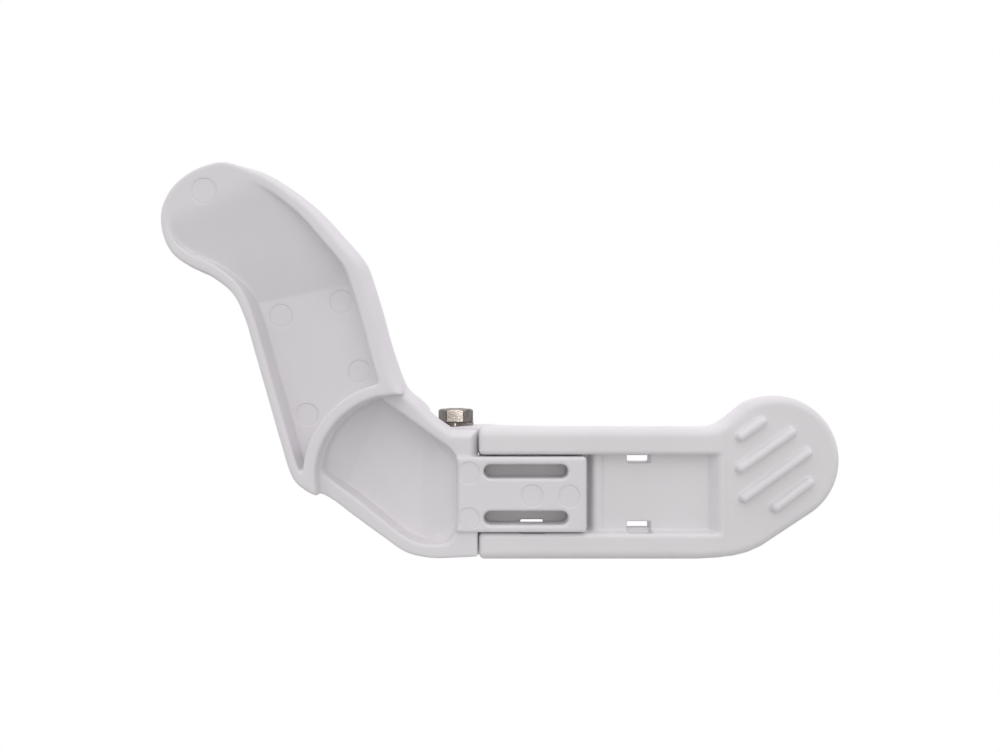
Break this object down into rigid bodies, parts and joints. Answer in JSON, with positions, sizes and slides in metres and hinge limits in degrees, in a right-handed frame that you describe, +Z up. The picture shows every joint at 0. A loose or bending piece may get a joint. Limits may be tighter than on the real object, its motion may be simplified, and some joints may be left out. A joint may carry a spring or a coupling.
{
  "type": "stair_gate_latch",
  "caption": "White moulded stair gate latch: hollow curved arm and elbow, slotted mounting tongue, and a hinged thumb lever returned by a spring on a hex-head pivot bolt",
  "frame": {"origin": "centre of the tongue's flat mounting face, midway between the two adjustment slots", "axes": "+X along the tongue and the lever towards the thumb pad, +Y away from the gate towards the front skin, +Z up towards the arm's tip"},
  "size_m": [0.1689, 0.0204, 0.0988],
  "materials": {
    "body_plastic": "satin moulded white",
    "lever_plastic": "satin moulded white",
    "plated_steel": "bright nickel plate",
    "bare_steel": "drawn steel",
    "nylon": "natural nylon"
  },
  "bodies": {
    "body": {"latch_body": "body_plastic", "upper_bush": "nylon", "lower_bush": "nylon", "torsion_spring": "bare_steel"},
    "lever": {"release_lever": "lever_plastic", "pivot_bolt": "plated_steel", "head_washer": "plated_steel", "lock_nut": "plated_steel", "nut_insert": "nylon", "pivot_sleeve": "bare_steel"}
  },
  "joints": [
    {"name": "lever_hinge", "type": "hinge", "parent": "body", "child": "lever", "pos_m": [-0.0182, 0.0115, 0], "axis": [0, 0, 1], "range_deg": [0, 75], "stiffness_Nm_per_rad": 0.15, "springref_deg": -28.65, "deforming": ["torsion_spring"]}
  ]
}
